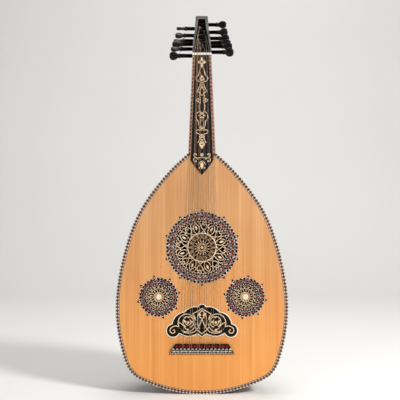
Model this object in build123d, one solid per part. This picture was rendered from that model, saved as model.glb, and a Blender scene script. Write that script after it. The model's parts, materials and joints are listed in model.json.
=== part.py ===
from build123d import *
import os
from math import asin, atan2, cos, degrees, hypot, radians, sin, sqrt

# A short-necked, fretless, pear-shaped lute with a bent-back peg box: eleven strings in six courses, twelve pegs,
# a bowl of fifteen ribs and a flat soundboard with three carved roses.
#
# Frame, in millimetres: +Z runs up the neck from the tail end, +X points to the treble side, and the soundboard's
# front face is the plane Y = 0 with +Y going back into the bowl. The origin is the tail end of the soundboard.

# ---- body outline ---------------------------------------------------------------------------------------------------
body_length = 500.0
body_width = 358.0
heel_width = 62.0                    # width of the body where the neck meets it
heel_angle = 47.5                    # lean of the outline there, from the centre line
# Points of one flank, as shares of half the body width and of the body length.
outline_shape = [(0.650, 0.049), (0.800, 0.080), (0.928, 0.172), (1.000, 0.327),
                 (0.878, 0.627), (0.698, 0.780), (0.365, 0.935)]
offset_samples = 28                  # points that carry an inset copy of the outline

# ---- bowl -----------------------------------------------------------------------------------------------------------
rib_count = 15
rib_thickness = 3.0
rib_line = 0.8                       # light strip let in between two ribs
clasp_radius = 38.0                  # tail clasp, measured from the bowl's axis
neck_block_length = 38.0
tail_block_height = 16.0
tail_block_half_width = 95.0
glue_gap = 0.15                      # between a block or a brace and the bowl's inside

# ---- soundboard -----------------------------------------------------------------------------------------------------
soundboard_thickness = 2.2
binding_width = 7.5
binding_depth = 1.2
brace_width = 6.0
brace_height = 14.0
brace_end_height = 6.0
brace_heights_z = [452.0, 410.0, 372.0, 239.0, 160.0, 62.0, 32.0]

# ---- roses ----------------------------------------------------------------------------------------------------------
large_rose_z = 304.8
small_rose_z = 201.8
small_rose_x = 90.0
large_hole_radius = 54.0
small_hole_radius = 25.5
large_ring_radius = 74.4
small_ring_radius = 40.5
ring_point_length = 6.4              # how far a point stands out past its ring
ring_point_width = 9.0
large_ring_points = 10
small_ring_points = 8
large_ring_turn = 18.0               # direction of one point, from +X
bass_ring_turn = 12.5
treble_ring_turn = -8.0
ring_recess = 1.0
ring_thickness = 1.2
rose_thickness = 2.0
rose_glue_rim = 5.5                  # part of a rose that is glued behind the soundboard
rose_band = 2.2                      # width of the cut bands of the lattice
large_rose_hub = 3.6
small_rose_hub = 5.6
large_rose_inner_ring = 29.6
large_rose_petals = 16
small_rose_petals = 8

# ---- neck, fingerboard and nut ----------------------------------------------------------------------------------------
neck_length = 205.0
neck_heel_width = 57.0
neck_nut_width = 39.5
neck_heel_depth = 26.0
neck_nut_depth = 21.0
tenon_length = 24.0
tenon_width = 20.0
tenon_flare = 8.0
tenon_front = 6.0
tenon_depth = 16.0
neck_run_out = 14.0                  # past the nut, before the sloping end is cut
fingerboard_rise = 0.8               # fingerboard and soundboard overlays stand this far in front
fingerboard_point_width = 48.0
fingerboard_point_length = 43.6
fingerboard_shoulder = 13.0          # straight part of the point's sides
edge_strip_width = 6.4
nut_thickness = 4.5
nut_height = 2.5                     # above the neck's front face plane, to the front
string_gap = 0.1                     # between a string and what it passes through

# ---- peg box --------------------------------------------------------------------------------------------------------
pegbox_length = 186.0                # along its curved front edge
pegbox_bend_length = 85.0            # where it stops turning back and starts turning up again
pegbox_root_angle = 38.0             # slope of the front edge, back from the neck line
pegbox_bend_angle = 68.0
pegbox_end_angle = 40.0
pegbox_root_setback = 5.5            # from the nut's front edge to the peg box
pegbox_root_sink = 1.0               # front edge behind the soundboard plane, at the root
pegbox_root_width = 39.6
pegbox_end_width = 27.6
channel_root_width = 34.0
channel_end_width = 14.6
cheek_root_height = 26.0
cheek_end_height = 17.5
pegbox_back_thickness = 3.6
end_block_length = 8.0
cap_thickness = 3.0

# ---- pegs -----------------------------------------------------------------------------------------------------------
peg_count = 12
first_peg = 10.0                     # along the peg box from its root
peg_pitch = 14.5                     # between a bass-side peg and the next treble-side peg
peg_depth_root = 16.9                # peg axis below the front edge, at the root, at the bend and at the end
peg_depth_bend = 16.3
peg_depth_end = 8.6
peg_radius = 3.9                     # at the outer face of the cheek nearest the head
peg_taper = 1 / 60                   # radius lost for each millimetre towards the tip
peg_clearance = 0.05
peg_tip = 1.0                        # stands out past the far cheek
peg_exposed_first = 26.5             # bare shaft between cheek and head, nearest the nut
peg_exposed_last = 19.0
peg_collar_radius = 5.6
peg_collar_length = 2.4
# Head sections from the collar outwards: distance, half width, half thickness.
peg_head_sections = [(0.0, 4.7, 4.4), (5.0, 7.3, 3.5), (11.0, 9.6, 3.2), (16.5, 8.8, 3.9), (20.0, 6.0, 3.3)]
# How far each head is turned about its shaft, from flat to the front, in degrees.
peg_head_turn = [5, 15, 50, 35, 25, 60, 70, 20, 40, 10, 85, 45]

# ---- bridge ---------------------------------------------------------------------------------------------------------
string_length = 600.0
bridge_front_width = 111.0
bridge_rear_width = 135.0
bridge_depth = 21.0
tie_block_depth = 7.0
tie_block_height = 9.0
apron_front_height = 5.0
apron_rear_height = 2.5
tie_height = 6.8                     # string holes above the soundboard

# ---- plectrum guard: right half of its outline, from its top middle round to its bottom point -----------------------------
guard_thickness = 0.8
guard_arcs = [((0.0, 188.2), (5.2, 186.9), (8.7, 182.6)),
              ((8.7, 182.6), (24.5, 181.0), (36.8, 171.9)),
              ((36.8, 171.9), (53.5, 164.6), (62.7, 147.1)),
              ((62.7, 147.1), (72.0, 123.2), (46.8, 125.7)),
              ((46.8, 125.7), (27.0, 119.6), (9.8, 124.6)),
              ((9.8, 124.6), (4.2, 121.2), (0.0, 116.6))]

# ---- strings --------------------------------------------------------------------------------------------------------
course_count = 6
course_spacing_bridge = 15.7
course_spacing_nut = 6.2
pair_spacing_bridge = 4.4
pair_spacing_nut = 2.0
string_height_nut = 1.7              # in front of the soundboard plane, at the nut
# Diameter of the strings of each course, from the highest to the lowest, which is single.
course_diameters = [0.65, 0.80, 0.72, 0.85, 1.00, 1.20]
# Pegs that each course is wound on, by number from the nut, and where on the peg, across the channel.
course_pegs = [[(10, 4.7), (8, 9.6)], [(6, 8.3), (4, 1.0)], [(2, 5.3), (1, 0.6)],
               [(3, -2.8), (5, -4.3)], [(7, -7.9), (9, -8.1)], [(11, -4.6)]]
winding_turns = 4.0                  # one layer of turns on each peg
winding_gap = 0.3                    # between a string's run and the turns it feeds
loop_reach = 1.4                     # tie loop's centre line outside the tie block
loop_radius = 0.9                    # of the tie loop's corners
nut_overrun = 1.4                    # from the nut's rear face to the string's bend down to its peg
peg_side_bend = 1.6                  # bend radius there
long_bend = 20.0                     # bend radius at the nut's front and at the bridge

half_width = body_width / 2
nut_z = body_length + neck_length
bridge_z = nut_z - string_length
neck_front = soundboard_thickness    # depth of the plane that fingerboard, strips and nut are glued to


def point(x, z, y=0.0):
    """A point given by its place in the soundboard plane and its depth behind it."""
    return Vector(x, y, z)


# ---- body outline ---------------------------------------------------------------------------------------------------

def outline_curve():
    """One flank of the body, from the tail end to the heel."""
    inner = [point(u * half_width, v * body_length) for u, v in outline_shape]
    lean = radians(heel_angle)
    return Spline([point(0, 0), *inner, point(heel_width / 2, body_length)],
                  tangents=[Vector(1, 0, 0), Vector(-sin(lean), 0, cos(lean))])


flank = outline_curve()


def inset_point(share, inset):
    """A point of the flank moved inwards, square to it."""
    run = flank.tangent_at(share)
    return flank.position_at(share) + Vector(-run.Z, 0, run.X) * inset


def half_face(inset, low=-1.0, high=body_length):
    """The treble half of the body's face, inset all round, between two heights."""
    if inset:
        shares = [i / offset_samples for i in range(offset_samples + 1)]
        curve = Spline([inset_point(share, inset) for share in shares],
                       tangents=[flank.tangent_at(0), flank.tangent_at(1)])
    else:
        curve = flank
    overrun = curve @ 1 + flank.tangent_at(1) * heel_width / 3
    edges = [curve, Line(curve @ 1, overrun), Line(overrun, point(0, overrun.Z)),
             Line(point(0, overrun.Z), curve @ 0)]
    face = Face(Wire(edges))
    band = Polyline(point(-1, low), point(body_width, low), point(body_width, high), point(-1, high), close=True)
    return face & Face(Wire(band.edges()))


def slab(face, front, back):
    """A face of the soundboard plane made solid between two depths."""
    return extrude(Pos(0, front, 0) * face, back - front, dir=(0, 1, 0))


def both_sides(shape):
    """A treble-side shape and its mirror image, as one."""
    return shape + mirror(shape, about=Plane.YZ)


def half_turn(face):
    """A half face spun round the centre line into the bowl's space."""
    return revolve(face, Axis.Z, 180)


def outline_half_width(height, inset=0.0):
    """Half the body's width at a height, inset square to the edge."""
    low, high = 0.0, 1.0
    for _ in range(40):
        middle = (low + high) / 2
        if inset_point(middle, inset).Z < height:
            low = middle
        else:
            high = middle
    return inset_point(low, inset).X


# ---- bowl -----------------------------------------------------------------------------------------------------------

bowl_shell = half_turn(half_face(0) - half_face(rib_thickness))
bowl_space = half_turn(half_face(rib_thickness + glue_gap, high=body_length))
bowl_reach = body_width              # longer than any radius of the bowl


def wedge(first_angle, first_gap, second_angle, second_gap):
    """The space between two planes that nearly pass through the centre line, each moved in by its gap."""
    a, b = radians(first_angle), radians(second_angle)
    along_a, along_b = Vector(cos(a), sin(a), 0), Vector(cos(b), sin(b), 0)
    spread = sin(b - a)
    apex = along_a * (second_gap / spread) + along_b * (first_gap / spread)
    corners = [apex, apex + along_a * bowl_reach * 2, apex + along_b * bowl_reach * 2]
    base = Face(Wire(Polyline(*corners, close=True).edges()))
    return extrude(Pos(0, 0, -10) * base, body_length + 20, dir=(0, 0, 1))


def behind_soundboard():
    """Everything behind the soundboard's back face."""
    return Pos(0, soundboard_thickness + bowl_reach / 2, body_length / 2) * Box(
        bowl_reach * 2, bowl_reach, body_length + 40)


def tail_post():
    """The round space at the tail that the clasp fills."""
    return Pos(0, 0, clasp_radius / 2 - 5) * Cylinder(clasp_radius, clasp_radius + 10)


def make_ribs():
    """Fifteen ribs from clasp to heel, each a thin curved stave."""
    staves = bowl_shell - tail_post()
    step = 180 / rib_count
    made = {}
    for i in range(rib_count):
        first_gap = soundboard_thickness if i == 0 else rib_line / 2
        second_gap = soundboard_thickness if i == rib_count - 1 else rib_line / 2
        made[f"rib_{i + 1:02d}"] = staves & wedge(i * step, first_gap, (i + 1) * step, second_gap)
    return made


def make_rib_lines():
    """The light strips between neighbouring ribs."""
    staves = bowl_shell - tail_post()
    strips = []
    for i in range(1, rib_count):
        blade = Pos(bowl_reach / 2, 0, body_length / 2) * Box(bowl_reach, rib_line, body_length + 20)
        strips += (staves & (Rot(0, 0, i * 180 / rib_count) * blade)).solids()
    return Compound(strips)


def make_tail_clasp():
    """Round shell that covers the ends of the ribs at the tail."""
    return (bowl_shell & tail_post()) & behind_soundboard()


def tenon(allowance=0.0):
    """Dovetail on the neck's end, wider towards its tip, that slides into the neck block."""
    tip, root = tenon_width / 2 + tenon_flare / 2 + allowance, tenon_width / 2 + allowance
    end = body_length - tenon_length - allowance
    base = Polyline(point(-root, body_length), point(-tip, end), point(tip, end), point(root, body_length), close=True)
    return slab(Face(Wire(base.edges())), tenon_front - allowance, tenon_front + tenon_depth + allowance)


def make_neck_block():
    """Solid block in the narrow end of the bowl, slotted for the neck's dovetail."""
    low = body_length - neck_block_length
    block = half_turn(half_face(rib_thickness + glue_gap, low=low)) & behind_soundboard()
    return block - tenon(allowance=0.1)


def make_tail_block():
    """Low block that the ribs' tail ends and the soundboard are glued to."""
    block = half_turn(half_face(rib_thickness + glue_gap, high=tail_block_height)) & behind_soundboard()
    limit = Pos(0, 0, tail_block_height / 2) * Box(2 * tail_block_half_width, 2 * tail_block_half_width,
                                                  2 * tail_block_height)
    return block & limit


# ---- roses and their rings ------------------------------------------------------------------------------------------

def disc(radius, x, z):
    """A round face in the soundboard plane."""
    return Face(Wire(Edge.make_circle(radius, Plane(point(x, z), x_dir=(1, 0, 0), z_dir=(0, -1, 0)))))


def polar(x, z, radius, angle):
    """The point at a radius and an angle from a rose's centre."""
    return point(x + radius * cos(radians(angle)), z + radius * sin(radians(angle)))


def ring_face(x, z, outer, inner, points, turn):
    """A flat ring with small points standing out round it."""
    face = disc(outer, x, z)
    spread = degrees(asin(ring_point_width / 2 / outer))
    for i in range(points):
        angle = turn + i * 360 / points
        corners = [polar(x, z, outer - 1, angle - spread), polar(x, z, outer + ring_point_length, angle),
                   polar(x, z, outer - 1, angle + spread)]
        face = face + Face(Wire(Polyline(*corners, close=True).edges()))
    return face - disc(inner, x, z)


roses = {
    "large": (0.0, large_rose_z, large_ring_radius, large_hole_radius, large_ring_points, large_ring_turn),
    "small_bass": (-small_rose_x, small_rose_z, small_ring_radius, small_hole_radius, small_ring_points,
                   bass_ring_turn),
    "small_treble": (small_rose_x, small_rose_z, small_ring_radius, small_hole_radius, small_ring_points,
                     treble_ring_turn),
}


def make_rose_ring(name):
    """Mosaic ring let into the soundboard round a sound hole, a little proud of it."""
    return slab(ring_face(*roses[name]), ring_recess - ring_thickness, ring_recess)


def spoke(x, z, start, end, angle, width):
    """A straight bar of a rose's lattice."""
    length = end - start
    bar = Pos(x, 0, z) * Rot(0, -angle, 0) * Pos(start + length / 2, 0, 0) * Rot(90, 0, 0) * Rectangle(length, width)
    return bar.face()


def make_rose(name):
    """Carved rose: a rim, a hub, and a lattice of interlaced rings and spokes, glued behind its hole."""
    x, z, _, hole, points, turn = roses[name]
    large = name == "large"
    hub = large_rose_hub if large else small_rose_hub
    waist = large_rose_inner_ring if large else (hub + hole) / 2
    rim = hole + rose_glue_rim
    petals = large_rose_petals if large else small_rose_petals
    petal_radius = (hole - waist) / 2
    face = disc(rim, x, z) - disc(hole - rose_band, x, z)
    face = face + (disc(waist + rose_band / 2, x, z) - disc(waist - rose_band / 2, x, z)) + disc(hub, x, z)
    for i in range(petals):
        angle = turn + i * 360 / petals
        centre = polar(x, z, waist + petal_radius, angle)
        face = face + (disc(petal_radius, centre.X, centre.Z) - disc(petal_radius - rose_band, centre.X, centre.Z))
        face = face + spoke(x, z, hub / 2, waist, angle, rose_band * 0.7)
    return slab(face, soundboard_thickness, soundboard_thickness + rose_thickness)


# ---- soundboard -----------------------------------------------------------------------------------------------------

def fingerboard_half_width(height):
    """Half the neck's width at a height, strips included."""
    share = (height - body_length) / neck_length
    return (neck_heel_width + (neck_nut_width - neck_heel_width) * share) / 2


def make_binding():
    """Mosaic band in the rebate all round the soundboard's front edge."""
    return slab(both_sides(half_face(0) - half_face(binding_width)), 0, binding_depth)


def make_soundboard():
    """Both bookmatched halves of the soundboard, rebated for the binding and the rings, and with three holes."""
    board = slab(both_sides(half_face(0)), 0, soundboard_thickness) - make_binding()
    for name, (x, z, _, hole, _, _) in roses.items():
        board = board - make_rose_ring(name)
        board = board - slab(disc(hole, x, z), -1, soundboard_thickness + 1)
    side = Pos(bowl_reach / 2, 0, body_length / 2) * Box(bowl_reach, 20, body_length + 20)
    return {"soundboard_bass_half": board & mirror(side, about=Plane.YZ), "soundboard_treble_half": board & side}


def make_braces():
    """Cross bars glued behind the soundboard, cut low at their ends."""
    bars = []
    for height in brace_heights_z:
        reach = outline_half_width(height, rib_thickness + glue_gap)
        back = soundboard_thickness + brace_height
        low_end = soundboard_thickness + brace_end_height
        profile = Polyline(Vector(-reach, soundboard_thickness, 0), Vector(reach, soundboard_thickness, 0),
                           Vector(reach, low_end, 0), Vector(reach - brace_height * 2, back, 0),
                           Vector(-reach + brace_height * 2, back, 0), Vector(-reach, low_end, 0), close=True)
        bar = extrude(Pos(0, 0, height - brace_width / 2) * Face(Wire(profile.edges())), brace_width, dir=(0, 0, 1))
        bars += (bar & bowl_space).solids()
    return Compound(bars)


# ---- plectrum guard and bridge --------------------------------------------------------------------------------------

def make_guard():
    """Thin dark plate with a lobed outline that takes the plectrum's wear."""
    arcs = [ThreePointArc(*[point(x, z) for x, z in arc]) for arc in guard_arcs]
    top, bottom = guard_arcs[0][0], guard_arcs[-1][2]
    half = Face(Wire([*arcs, Line(point(*bottom), point(*top))]))
    return both_sides(slab(half, -guard_thickness, 0))


def make_bridge():
    """Bridge: a tie block with a hole for each string, and a low apron sloping down behind it."""
    step_z, rear_z = bridge_z - tie_block_depth, bridge_z - bridge_depth
    profile = Polyline(Vector(0, 0, bridge_z), Vector(0, -tie_block_height, bridge_z),
                       Vector(0, -tie_block_height, step_z), Vector(0, -apron_front_height, step_z),
                       Vector(0, -apron_rear_height, rear_z), Vector(0, 0, rear_z), close=True)
    body = extrude(Face(Wire(profile.edges())), bridge_rear_width, both=True, dir=(1, 0, 0))
    front, rear = bridge_front_width / 2, bridge_rear_width / 2
    plan = Polyline(point(-front, bridge_z), point(front, bridge_z), point(rear, rear_z), point(-rear, rear_z),
                    close=True)
    bridge = body & slab(Face(Wire(plan.edges())), -2 * tie_block_height, 1)
    for x_bridge, _, diameter, _, _ in strings:
        drill = Pos(x_bridge, -tie_height, step_z) * Cylinder(diameter / 2 + string_gap, 4 * tie_block_depth)
        bridge = bridge - drill
    return bridge


# ---- neck, fingerboard, strips and nut ------------------------------------------------------------------------------

def neck_section(height, width, depth):
    """A D-shaped slice across the neck: flat in front, half an ellipse behind."""
    arc = EllipticalCenterArc(Vector(0, 0), width / 2, depth, start_angle=0, arc_size=180)
    return Pos(0, neck_front, height) * Face(Wire([arc, Line(arc @ 1, arc @ 0)]))


def make_neck():
    """Neck with a dovetail at the body and a sloping end face that the peg box is glued to."""
    slope = (neck_nut_width - neck_heel_width) / neck_length
    fall = (neck_nut_depth - neck_heel_depth) / neck_length
    length = neck_length + neck_run_out
    shaft = loft([neck_section(body_length, neck_heel_width, neck_heel_depth),
                  neck_section(body_length + length, neck_heel_width + slope * length,
                               neck_heel_depth + fall * length)])
    return shaft - beyond_joint() + tenon()


def strip_outline(inner_heel, outer_heel, inner_nut, outer_nut):
    """A tapering strip of the neck's front, between two edges."""
    corners = [point(inner_heel, body_length), point(outer_heel, body_length), point(outer_nut, nut_z),
               point(inner_nut, nut_z)]
    return Face(Wire(Polyline(*corners, close=True).edges()))


def make_fingerboard():
    """Fretless fingerboard on the neck's front face."""
    heel, nut = neck_heel_width / 2 - edge_strip_width, neck_nut_width / 2 - edge_strip_width
    return slab(strip_outline(-heel, heel, -nut, nut), -fingerboard_rise, neck_front)


def make_edge_strips():
    """Mosaic strips along both edges of the fingerboard."""
    heel, nut = neck_heel_width / 2, neck_nut_width / 2
    treble = strip_outline(heel - edge_strip_width, heel, nut - edge_strip_width, nut)
    bass = mirror(treble, about=Plane.YZ)
    return Compound([s for face in (bass, treble) for s in slab(face, -fingerboard_rise, neck_front).solids()])


def make_fingerboard_point():
    """Pointed tongue that carries the fingerboard on over the soundboard."""
    half = fingerboard_point_width / 2
    shoulder, tip = body_length - fingerboard_shoulder, body_length - fingerboard_point_length
    middle = (shoulder + tip) / 2
    curve = ThreePointArc(point(half, shoulder), point(half * 0.62, middle + 1.5), point(0, tip))
    edges = [Line(point(0, body_length), point(half, body_length)),
             Line(point(half, body_length), point(half, shoulder)), curve, Line(point(0, tip), point(0, body_length))]
    return both_sides(slab(Face(Wire(edges)), -fingerboard_rise, 0))


def make_nut():
    """Bone nut with a slot for each string."""
    width = neck_nut_width
    block = Pos(0, (neck_front - nut_height) / 2, nut_z + nut_thickness / 2) * Box(
        width, neck_front + nut_height, nut_thickness)
    for _, x_nut, diameter, _, _ in strings:
        floor = -string_height_nut + diameter / 2 + string_gap
        cut = diameter + 2 * string_gap
        block = block - Pos(x_nut, floor - 5, nut_z + nut_thickness / 2) * Box(cut, 10, 2 * nut_thickness)
    return block


# ---- peg box --------------------------------------------------------------------------------------------------------

def pegbox_slope(s):
    """Slope of the peg box at a distance along its front edge, in radians back from the neck line."""
    if s < pegbox_bend_length:
        share = s / pegbox_bend_length
        return radians(pegbox_root_angle + (pegbox_bend_angle - pegbox_root_angle) * share)
    share = (s - pegbox_bend_length) / (pegbox_length - pegbox_bend_length)
    return radians(pegbox_bend_angle + (pegbox_end_angle - pegbox_bend_angle) * share)


def arc_run(start, end, length):
    """Rise and setback of an arc of that length whose slope turns from start to end."""
    radius = length / (end - start)
    return radius * (sin(end) - sin(start)), radius * (cos(start) - cos(end))


def pegbox_point(s, depth):
    """A point on the peg box's centre plane: distance along its front edge and depth behind that edge."""
    first = min(max(s, 1e-6), pegbox_bend_length)
    rise, back = arc_run(pegbox_slope(0), pegbox_slope(first * 0.999999), first)
    if s > pegbox_bend_length:
        more_rise, more_back = arc_run(pegbox_slope(pegbox_bend_length), pegbox_slope(s), s - pegbox_bend_length)
        rise, back = rise + more_rise, back + more_back
    slope = pegbox_slope(s)
    root = point(0, nut_z + pegbox_root_setback, pegbox_root_sink)
    return root + Vector(0, back + depth * cos(slope), rise - depth * sin(slope))


def cheek_height(s):
    """Height of a cheek at a distance along the peg box."""
    return cheek_root_height + (cheek_end_height - cheek_root_height) * s / pegbox_length


def beyond_joint():
    """Everything on the peg box's side of the sloping joint at the end of the neck."""
    slope = pegbox_slope(0)
    plane = Plane(pegbox_point(0, 0), x_dir=(1, 0, 0), z_dir=(0, sin(slope), cos(slope)))
    return plane * Pos(0, 0, 50) * Box(200, 200, 100)


def side_profile(start, end, top, bottom):
    """A slice of the peg box seen from the side, between two distances and two depths that vary along it."""
    steps = 8
    stations = [start + (end - start) * i / steps for i in range(steps + 1)]
    upper = Spline([pegbox_point(s, top(s)) for s in stations])
    lower = Spline([pegbox_point(s, bottom(s)) for s in stations])
    edges = [upper, Line(upper @ 1, lower @ 1), lower, Line(lower @ 0, upper @ 0)]
    return extrude(Face(Wire(edges)), pegbox_root_width, both=True, dir=(1, 0, 0))


pegbox_root, pegbox_end = pegbox_point(0, 0), pegbox_point(pegbox_length, 0)
pegbox_chord = pegbox_end - pegbox_root


def across_half(root_width, end_width, where):
    """Half the width of a tapering outline at a point of the peg box."""
    share = (where - pegbox_root).dot(pegbox_chord) / pegbox_chord.dot(pegbox_chord)
    return (root_width + (end_width - root_width) * share) / 2


def taper_prism(root_width, end_width):
    """The space between two upright planes that close in along the peg box."""
    run_over = 0.3                   # of the chord, past each end
    along = pegbox_chord
    normal = Vector(0, along.Z, -along.Y).normalized()
    low, high = pegbox_root - along * run_over, pegbox_end + along * run_over
    a, b = across_half(root_width, end_width, low), across_half(root_width, end_width, high)
    across = Vector(1, 0, 0)
    corners = [low - across * a, low + across * a, high + across * b, high - across * b]
    return extrude(Face(Wire(Polyline(*corners, close=True).edges())), 80, both=True, dir=normal)


def peg_station(number):
    """A peg's distance along the peg box and its axis point on the centre plane."""
    s = first_peg + (number - 1) * peg_pitch
    if s < pegbox_bend_length:
        return pegbox_point(s, peg_depth_root + (peg_depth_bend - peg_depth_root) * s / pegbox_bend_length)
    share = (s - pegbox_bend_length) / (pegbox_length - pegbox_bend_length)
    return pegbox_point(s, peg_depth_bend + (peg_depth_end - peg_depth_bend) * share)


def peg_side(number):
    """-1 for a peg whose head is on the bass side, 1 for the treble side."""
    return -1 if number % 2 else 1


def cheek_face(number):
    """Distance from the centre plane to the outer face of the cheeks at a peg."""
    return across_half(pegbox_root_width, pegbox_end_width, peg_station(number))


def peg_shaft_radius(number, out):
    """Radius of a peg's shaft at a distance from the centre plane, positive towards its head."""
    return peg_radius + (out - cheek_face(number)) * peg_taper


def tapered_rod(number, start, end, allowance=0.0):
    """A length of a peg's tapered shaft, lying along +X from the centre plane."""
    low = peg_shaft_radius(number, start) + allowance
    high = peg_shaft_radius(number, end) + allowance
    return Pos((start + end) / 2, 0, 0) * Rot(0, 90, 0) * Cone(low, high, end - start)


def at_peg(number):
    """Takes a peg drawn along +X to its place, head outwards."""
    centre = peg_station(number)
    turn = 0 if peg_side(number) > 0 else 180
    return Pos(centre.X, centre.Y, centre.Z) * Rot(0, 0, turn)


def peg_holes():
    """Tapered holes through both cheeks, one for each peg."""
    reach = pegbox_root_width
    return [at_peg(n) * tapered_rod(n, -reach, reach, peg_clearance) for n in range(1, peg_count + 1)]


def make_pegbox():
    """Two drilled cheeks, the curved back, the end block and the cap."""
    outer, channel = taper_prism(pegbox_root_width, pegbox_end_width), taper_prism(channel_root_width, channel_end_width)
    walls = side_profile(0, pegbox_length, lambda s: 0, cheek_height) & (outer - channel)
    for hole in peg_holes():
        walls = walls - hole
    bass, treble = walls.solids().sort_by(Axis.X)
    back = side_profile(0, pegbox_length, cheek_height, lambda s: cheek_height(s) + pegbox_back_thickness) & outer
    block_start = pegbox_length - end_block_length
    block = side_profile(block_start, pegbox_length, lambda s: 0, cheek_height) & channel
    slope = pegbox_slope(pegbox_length)
    depth = cheek_height(pegbox_length) + pegbox_back_thickness
    seat = Plane(pegbox_point(pegbox_length, depth / 2), x_dir=(1, 0, 0), z_dir=(0, sin(slope), cos(slope)))
    width = 2 * across_half(pegbox_root_width, pegbox_end_width, pegbox_end)
    cap = seat * extrude(RectangleRounded(width, depth, 2.5), cap_thickness)
    return {"pegbox_cheek_bass": bass, "pegbox_cheek_treble": treble, "pegbox_back": back,
            "pegbox_end_block": block, "pegbox_cap": cap}


# ---- strings and pegs -----------------------------------------------------------------------------------------------

def string_table():
    """Each string: place across the bridge, place across the nut, diameter, peg number, place across the channel."""
    rows = []
    for course in range(course_count):
        pegs = course_pegs[course]
        middle = (course_count - 1) / 2 - course
        for i, (peg, x_peg) in enumerate(pegs):
            side = 0.5 - i if len(pegs) == 2 else 0
            rows.append((middle * course_spacing_bridge + side * pair_spacing_bridge,
                         middle * course_spacing_nut + side * pair_spacing_nut,
                         course_diameters[course], peg, x_peg))
    return rows


strings = string_table()


def feed_point(peg, x_peg, diameter, start):
    """Where a string from the nut touches the turns wound on its peg, on their front side."""
    centre = peg_station(peg)
    out = x_peg * peg_side(peg)
    radius = peg_shaft_radius(peg, out) + diameter + winding_gap + diameter / 2
    gap = Vector(0, centre.Y - start.Y, centre.Z - start.Z)
    distance = hypot(gap.Y, gap.Z)
    turn = atan2(gap.Y, gap.Z) - asin(radius / distance)
    reach = sqrt(distance ** 2 - radius ** 2)
    return Vector(x_peg, start.Y + reach * sin(turn), start.Z + reach * cos(turn))


def string_path(row):
    """A string's centre line: its peg, over the nut, down to the bridge, through it, and back over as a tie loop."""
    x_bridge, x_nut, diameter, peg, x_peg = row
    over_nut = point(x_nut, nut_z + nut_thickness + nut_overrun, -string_height_nut)
    front, rear = bridge_z + loop_reach, bridge_z - tie_block_depth - loop_reach
    top = -tie_block_height - diameter / 2 - string_gap
    corners = [feed_point(peg, x_peg, diameter, over_nut), over_nut, point(x_nut, nut_z, -string_height_nut),
               point(x_bridge, bridge_z, -tie_height), point(x_bridge, rear, -tie_height),
               point(x_bridge, rear, top), point(x_bridge, front, top),
               point(x_bridge, front, -tie_height - 1.5 * diameter - string_gap)]
    bends = [peg_side_bend, long_bend, long_bend, loop_radius, loop_radius, loop_radius]
    return FilletPolyline(*corners, radius=bends)


def make_string(row):
    """One string as a plain round wire."""
    path = string_path(row)
    diameter = row[2]
    start = Plane(path @ 0, z_dir=path % 0)
    return sweep(start * Circle(diameter / 2), path=path)


def peg_head(number):
    """Flattened, scooped thumb piece of a peg, standing out along +X from its collar."""
    sections = []
    for out, half, thick in peg_head_sections:
        sections.append(Pos(out, 0, 0) * Rot(0, 90, 0) * Ellipse(half, thick))
    return Rot(peg_head_turn[number - 1], 0, 0) * loft(sections)


def make_peg(number):
    """A turned peg, and the turns of string wound on it where it crosses the channel."""
    share = (number - 1) / (peg_count - 1)
    face = cheek_face(number)
    shoulder = face + peg_exposed_first + (peg_exposed_last - peg_exposed_first) * share
    shaft = tapered_rod(number, -face - peg_tip, shoulder)
    collar = Pos(shoulder + peg_collar_length / 2, 0, 0) * Rot(0, 90, 0) * Cylinder(peg_collar_radius,
                                                                                    peg_collar_length)
    head = Pos(shoulder + peg_collar_length, 0, 0) * peg_head(number)
    peg = shaft + collar + head
    pieces = [peg]
    for _, _, diameter, peg_number, x_peg in strings:
        if peg_number == number:
            out = x_peg * peg_side(number)
            radius = peg_shaft_radius(number, out) + diameter
            turns = Pos(out, 0, 0) * Rot(0, 90, 0) * Cylinder(radius, diameter * winding_turns) - shaft
            pieces.append(turns)
    return Compound([s for piece in pieces for s in (at_peg(number) * piece).solids()])


def make_courses():
    """The strings, each course of one or two equal strings as its own node."""
    made, first = {}, 0
    for course, pegs in enumerate(course_pegs):
        rows = strings[first:first + len(pegs)]
        first += len(pegs)
        made[f"string_course_{course + 1}"] = Compound([s for row in rows for s in make_string(row).solids()])
    return made


# ---- everything -----------------------------------------------------------------------------------------------------

def make_all():
    """Every node by name."""
    nodes = {}
    nodes.update(make_ribs())
    nodes["rib_lines"] = make_rib_lines()
    nodes["tail_clasp"] = make_tail_clasp()
    nodes["neck_block"] = make_neck_block()
    nodes["tail_block"] = make_tail_block()
    nodes.update(make_soundboard())
    nodes["soundboard_braces"] = make_braces()
    nodes["edge_binding"] = make_binding()
    for name in roses:
        nodes[f"rose_{name}"] = make_rose(name)
        nodes[f"rose_ring_{name}"] = make_rose_ring(name)
    nodes["plectrum_guard"] = make_guard()
    nodes["bridge"] = make_bridge()
    nodes["neck"] = make_neck()
    nodes["fingerboard"] = make_fingerboard()
    nodes["fingerboard_point"] = make_fingerboard_point()
    nodes["fingerboard_edge_strips"] = make_edge_strips()
    nodes["nut"] = make_nut()
    nodes.update(make_pegbox())
    for number in range(1, peg_count + 1):
        nodes[f"peg_{number:02d}"] = make_peg(number)
    nodes.update(make_courses())
    return nodes


os.makedirs("parts", exist_ok=True)
for node, shape in make_all().items():
    export_step(shape, f"parts/{node}.step")
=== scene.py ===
import json
import math

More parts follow.
